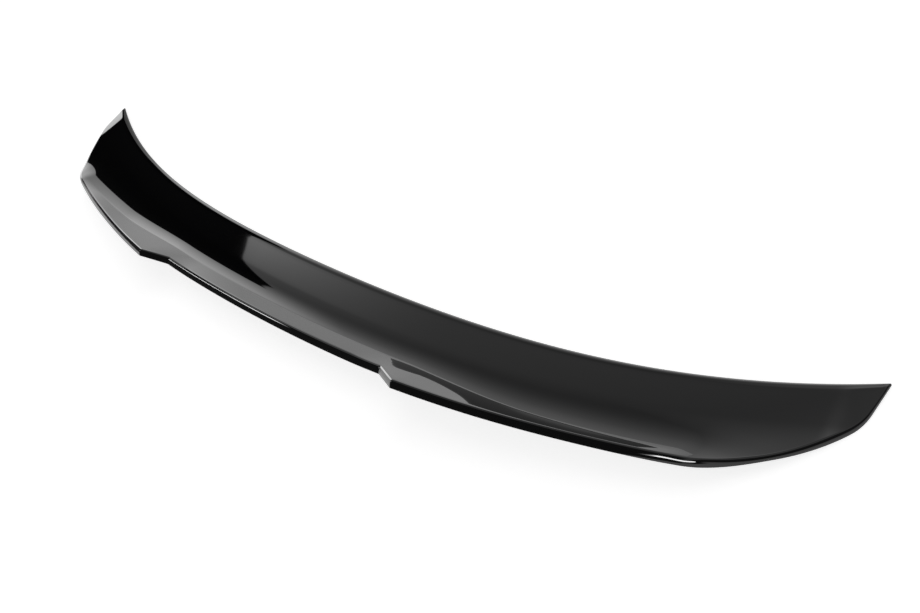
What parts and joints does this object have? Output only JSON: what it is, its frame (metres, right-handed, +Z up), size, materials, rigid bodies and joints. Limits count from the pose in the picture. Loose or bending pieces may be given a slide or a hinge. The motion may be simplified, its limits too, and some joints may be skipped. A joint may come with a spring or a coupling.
{
  "type": "car rear spoiler",
  "caption": "Boot-lid lip spoiler in gloss black plastic: a long swept crescent with a kicked-up rear lip, a wide notch at the middle and a hollow underside.",
  "frame": {"origin": "on the floor, below the middle of the front edge, which is the middle of the outline seen from above to within 1 mm", "axes": "+X along the spoiler, to the right as seen from behind the car; +Y forward, from the lip to the front edge; +Z up"},
  "size_m": [1.2, 0.1896, 0.0416],
  "materials": {
    "gloss_black_plastic": "high gloss, moulded black"
  },
  "bodies": {
    "root": {"spoiler_shell": "gloss_black_plastic"}
  },
  "joints": []
}
